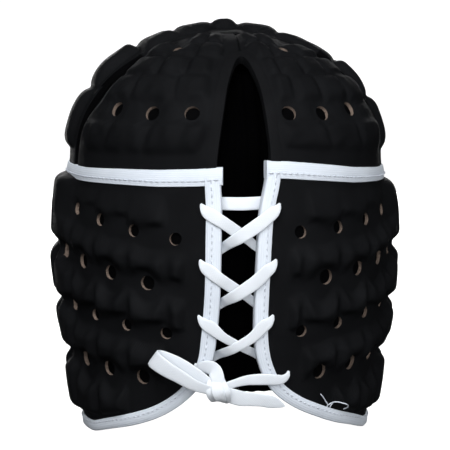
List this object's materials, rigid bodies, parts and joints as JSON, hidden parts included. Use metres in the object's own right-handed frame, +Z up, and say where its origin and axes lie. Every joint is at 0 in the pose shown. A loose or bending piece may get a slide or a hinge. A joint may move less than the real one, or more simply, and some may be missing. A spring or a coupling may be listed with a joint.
{
  "type": "padded head guard",
  "caption": "Soft padded sports head guard: vented foam pads on a domed shell, white bound edges, open face and a laced gap with a bow down the back",
  "frame": {"origin": "centre of the guard's plan, on the plane of the flat rims under both side panels", "axes": "+X to the wearer's right as seen from behind, +Y to the open face, +Z up to the crown"},
  "size_m": [0.1851, 0.1987, 0.2168],
  "materials": {
    "black_fabric": "matt black knit bonded over foam",
    "white_binding": "white woven tape, stitched",
    "black_binding": "matt black folded tape",
    "black_stretch": "matt black stretch cloth",
    "white_lace": "white flat woven lace"
  },
  "bodies": {
    "root": {"rear_crown_left": "black_fabric", "rear_crown_right": "black_fabric", "front_crown": "black_fabric", "side_panel_left": "black_fabric", "side_panel_right": "black_fabric", "waist_band": "white_binding", "edge_binding_left": "white_binding", "edge_binding_right": "white_binding", "gap_binding": "black_binding", "lacing_gusset": "black_stretch", "lace": "white_lace"}
  },
  "joints": []
}
